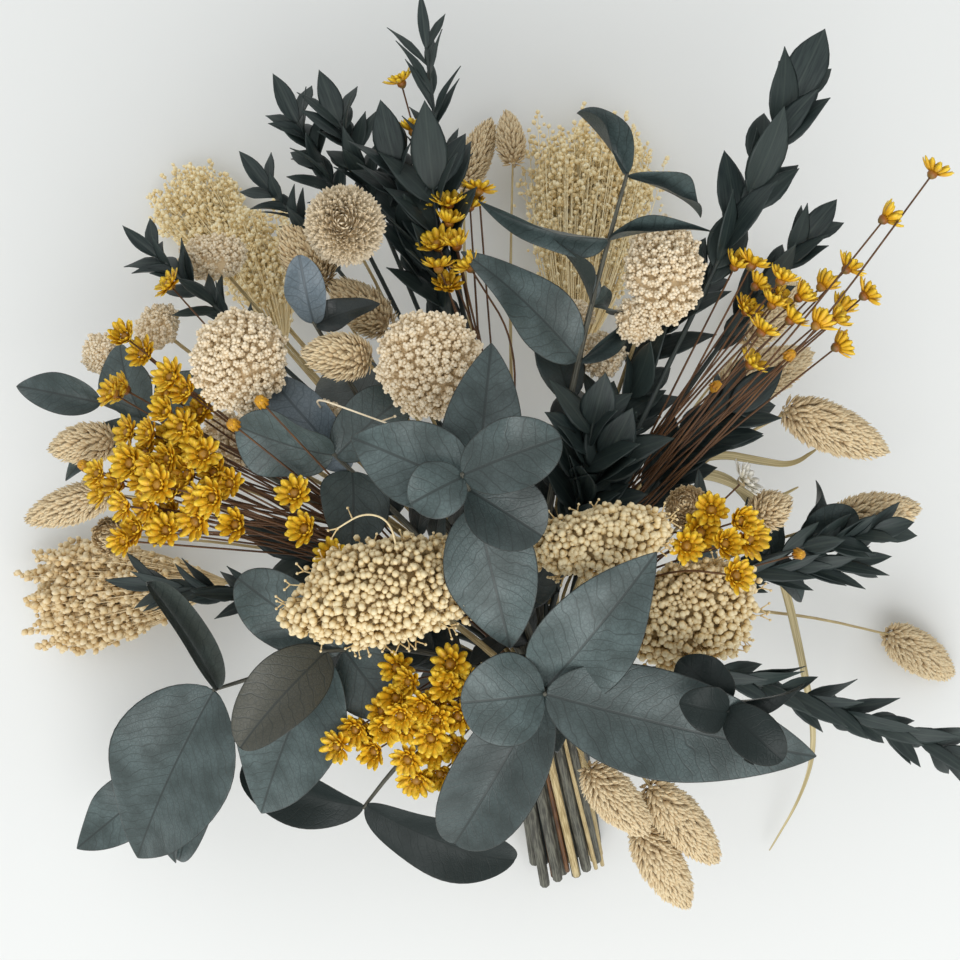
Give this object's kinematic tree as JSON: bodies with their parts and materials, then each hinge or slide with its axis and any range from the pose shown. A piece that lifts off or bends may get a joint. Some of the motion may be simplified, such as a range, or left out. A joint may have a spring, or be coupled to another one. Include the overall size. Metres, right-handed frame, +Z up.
{
  "type": "dried eucalyptus bouquet",
  "caption": "Tied dried bouquet of broad-leaved eucalyptus with ruscus, canary grass heads, everlastings, rice flower and yellow star flowers, laid on its back.",
  "frame": {"origin": "centre of the bounding box at the surface the bunch lies on", "axes": "+Z up from the surface, +Y from the cut stem ends to the far rim of the flowers, +X to the right as the flowers are seen from above"},
  "size_m": [0.4514, 0.396, 0.2445],
  "materials": {
    "eucalyptus_leaf": "matte waxy blue-grey leaf",
    "ruscus_leaf": "matte blackish green leaf",
    "grass_head": "matte pinkish cream scales",
    "everlasting": "matte cream florets",
    "rice_flower": "matte straw cream beads",
    "star_flower": "papery golden yellow rays on brown stalks",
    "dry_blade": "matte dry grass",
    "twine": "jute twine"
  },
  "bodies": {
    "root": {"blade_across": "dry_blade", "blade_hanging": "dry_blade", "cream_far_left": "everlasting", "cream_left": "everlasting", "cream_middle": "everlasting", "cream_right": "everlasting", "cream_small": "everlasting", "cream_small_right": "everlasting", "cream_upper_left": "everlasting", "eucalyptus_collar": "eucalyptus_leaf", "eucalyptus_crown": "eucalyptus_leaf", "eucalyptus_front": "eucalyptus_leaf", "eucalyptus_left": "eucalyptus_leaf", "eucalyptus_left_fan": "eucalyptus_leaf", "eucalyptus_low": "eucalyptus_leaf", "eucalyptus_low_left": "eucalyptus_leaf", "eucalyptus_right": "eucalyptus_leaf", "eucalyptus_round_leaved": "eucalyptus_leaf", "eucalyptus_shoulder": "eucalyptus_leaf", "eucalyptus_tall": "eucalyptus_leaf", "glixia_far_right": "star_flower", "glixia_left": "star_flower", "glixia_low": "star_flower", "glixia_right": "star_flower", "glixia_top": "star_flower", "phalaris_back": "grass_head", "phalaris_back_right": "grass_head", "phalaris_facing": "grass_head", "phalaris_far_right": "grass_head", "phalaris_left": "grass_head", "phalaris_left_upper": "grass_head", "phalaris_low_front": "grass_head", "phalaris_low_middle": "grass_head", "phalaris_low_right": "grass_head", "phalaris_rice_edge": "grass_head", "phalaris_right": "grass_head", "phalaris_right_upper": "grass_head", "phalaris_shoulder": "grass_head", "phalaris_upper_left": "grass_head", "rice_back": "rice_flower", "rice_back_left": "rice_flower", "rice_front": "rice_flower", "rice_left": "rice_flower", "rice_middle": "rice_flower", "rice_right": "rice_flower", "ruscus_far_left": "ruscus_leaf", "ruscus_inner_left": "ruscus_leaf", "ruscus_low_left": "ruscus_leaf", "ruscus_low_right": "ruscus_leaf", "ruscus_middle": "ruscus_leaf", "ruscus_right": "ruscus_leaf", "ruscus_right_inner": "ruscus_leaf", "ruscus_right_narrow": "ruscus_leaf", "ruscus_right_upper": "ruscus_leaf", "ruscus_tall_narrow": "ruscus_leaf", "ruscus_upper": "ruscus_leaf", "ruscus_upper_left": "ruscus_leaf", "ruscus_upper_left_inner": "ruscus_leaf", "ruscus_upper_right": "ruscus_leaf", "tie": "twine"}
  },
  "joints": []
}
